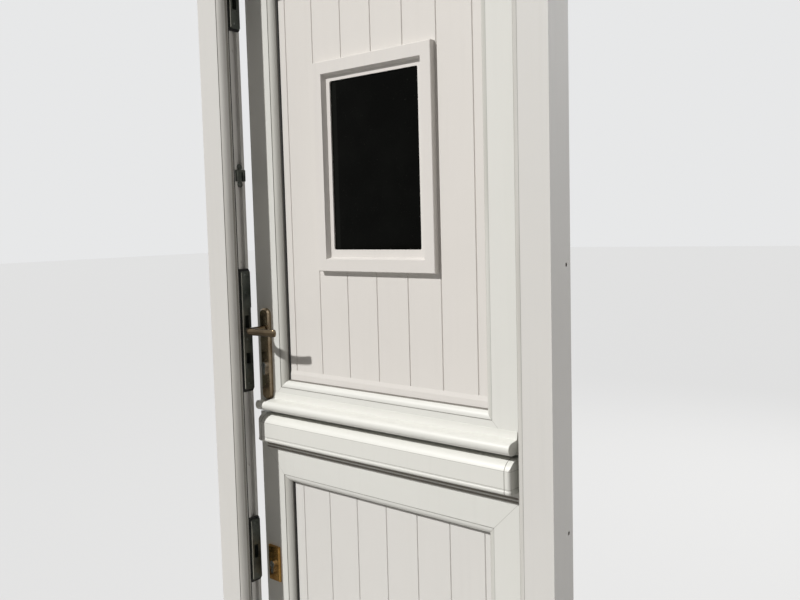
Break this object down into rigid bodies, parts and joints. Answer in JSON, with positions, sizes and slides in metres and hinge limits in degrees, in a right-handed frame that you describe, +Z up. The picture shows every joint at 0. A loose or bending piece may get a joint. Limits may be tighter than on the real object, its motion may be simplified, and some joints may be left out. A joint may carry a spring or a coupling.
{
  "type": "dutch stable door with frame",
  "caption": "White stable door in its frame: two separately swinging boarded leaves, the upper one with a window, levers and locks, the lower one with a drip bar.",
  "frame": {"origin": "underside of the threshold, at the middle of the frame's width and level with the frame's outside face", "axes": "+Z up, +X along the width to the hinge side, +Y into the room, so the outside faces -Y; rest pose has both leaves ajar together by 4.22 degrees, as in the picture"},
  "size_m": [0.95, 0.2354, 2.1],
  "materials": {
    "frame_pvc": "smooth white",
    "leaf_pvc": "smooth white",
    "panel_pvc": "smooth warm white",
    "aluminium": "mill",
    "black_rubber": "matt black",
    "black_plastic": "matt black",
    "zinc_steel": "zinc plated",
    "white_paint": "white",
    "bright_steel": "satin",
    "glass": "clear, dark behind",
    "grey_spacer": "grey",
    "brass": "polished"
  },
  "bodies": {
    "frame": {"jamb_lock_side": "frame_pvc", "jamb_hinge_side": "frame_pvc", "frame_head": "frame_pvc", "threshold": "aluminium", "frame_gasket": "black_rubber", "keep_packers": "black_plastic", "keep_top": "zinc_steel", "keep_centre": "zinc_steel", "keep_lower": "zinc_steel", "striker_plate": "zinc_steel", "hinge_frame_flag_1": "white_paint", "hinge_frame_flag_2": "white_paint", "hinge_frame_flag_3": "white_paint", "hinge_frame_flag_4": "white_paint"},
    "upper_leaf": {"upper_sash": "leaf_pvc", "upper_panel": "panel_pvc", "upper_panel_gasket": "black_rubber", "upper_beads": "leaf_pvc", "upper_sash_gasket": "black_rubber", "upper_weather_bar": "panel_pvc", "window_outer_frame": "panel_pvc", "window_inner_frame": "panel_pvc", "glass_panes": "glass", "glass_spacer": "grey_spacer", "hinge_leaf_flag_3": "white_paint", "hinge_leaf_flag_4": "white_paint", "upper_faceplate": "zinc_steel", "upper_lock_case": "zinc_steel", "outer_handle_plate": "brass", "inner_handle_plate": "brass", "upper_cylinder": "bright_steel", "link_bolt_housing": "white_paint"},
    "lower_leaf": {"lower_sash": "leaf_pvc", "lower_panel": "panel_pvc", "lower_panel_gasket": "black_rubber", "lower_beads": "leaf_pvc", "lower_sash_gasket": "black_rubber", "drip_bar": "panel_pvc", "drip_bar_caps": "panel_pvc", "meeting_seal": "black_rubber", "lower_weather_bar": "panel_pvc", "hinge_leaf_flag_1": "white_paint", "hinge_leaf_flag_2": "white_paint", "lower_faceplate": "zinc_steel", "lower_lock_case": "zinc_steel", "lower_escutcheons": "brass", "lower_cylinder": "bright_steel", "link_bolt_keeper": "white_paint"},
    "lever_set": {"outer_lever": "brass", "inner_lever": "brass", "spindle": "bright_steel"},
    "latch": {"latch_bolt": "zinc_steel"},
    "rail": {"drive_rail": "zinc_steel"},
    "hook": {"top_hook": "zinc_steel"},
    "dead_bolt": {"centre_bolt": "zinc_steel"},
    "upper_plug": {"upper_cylinder_plug": "bright_steel"},
    "lower_dead_bolt": {"lower_bolt": "zinc_steel"},
    "lower_plug": {"lower_cylinder_plug": "bright_steel"},
    "link": {"link_bolt": "bright_steel"}
  },
  "joints": [
    {"name": "upper_leaf_swing", "type": "hinge", "parent": "frame", "child": "upper_leaf", "pos_m": [0.437, 0.111, 1.41], "axis": [0, 0, -1], "range_deg": [-4.22, 85]},
    {"name": "lower_leaf_swing", "type": "hinge", "parent": "frame", "child": "lower_leaf", "pos_m": [0.437, 0.111, 0.46], "axis": [0, 0, -1], "range_deg": [-4.22, 85]},
    {"name": "lever_turn", "type": "hinge", "parent": "upper_leaf", "child": "lever_set", "pos_m": [-0.37149, 0.12052, 1.132], "axis": [0.0736, 0.9973, 0], "range_deg": [-40, 45], "stiffness_Nm_per_rad": 3, "springref_deg": -2.58},
    {"name": "latch_slide", "type": "slide", "parent": "upper_leaf", "child": "latch", "axis": [0.9973, -0.0736, 0], "range_m": [0, 0.0105], "stiffness_N_per_m": 250},
    {"name": "rail_slide", "type": "slide", "parent": "upper_leaf", "child": "rail", "axis": [0, 0, 1], "range_m": [0, 0.018]},
    {"name": "hook_turn", "type": "hinge", "parent": "upper_leaf", "child": "hook", "pos_m": [-0.38844, 0.12177, 1.95], "axis": [0.0736, 0.9973, 0], "range_deg": [0, 88.5]},
    {"name": "upper_key_turn", "type": "hinge", "parent": "upper_leaf", "child": "upper_plug", "pos_m": [-0.37149, 0.12052, 1.04], "axis": [-0.0736, -0.9973, 0], "range_deg": [0, 360.1]},
    {"name": "dead_bolt_slide", "type": "slide", "parent": "upper_leaf", "child": "dead_bolt", "axis": [-0.9973, 0.0736, 0], "range_m": [0, 0.018]},
    {"name": "lower_key_turn", "type": "hinge", "parent": "lower_leaf", "child": "lower_plug", "pos_m": [-0.37149, 0.12052, 0.525], "axis": [-0.0736, -0.9973, 0], "range_deg": [0, 360.1]},
    {"name": "lower_bolt_slide", "type": "slide", "parent": "lower_leaf", "child": "lower_dead_bolt", "axis": [-0.9973, 0.0736, 0], "range_m": [0, 0.018]},
    {"name": "link_bolt_slide", "type": "slide", "parent": "upper_leaf", "child": "link", "axis": [0, 0, -1], "range_m": [0, 0.034]}
  ],
  "couplings": [
    {"joint": "hook_turn", "follows": "rail_slide", "rad_per_m": 85.327},
    {"joint": "upper_key_turn", "follows": "dead_bolt_slide", "rad_per_m": 349.07},
    {"joint": "lower_key_turn", "follows": "lower_bolt_slide", "rad_per_m": 349.07}
  ]
}
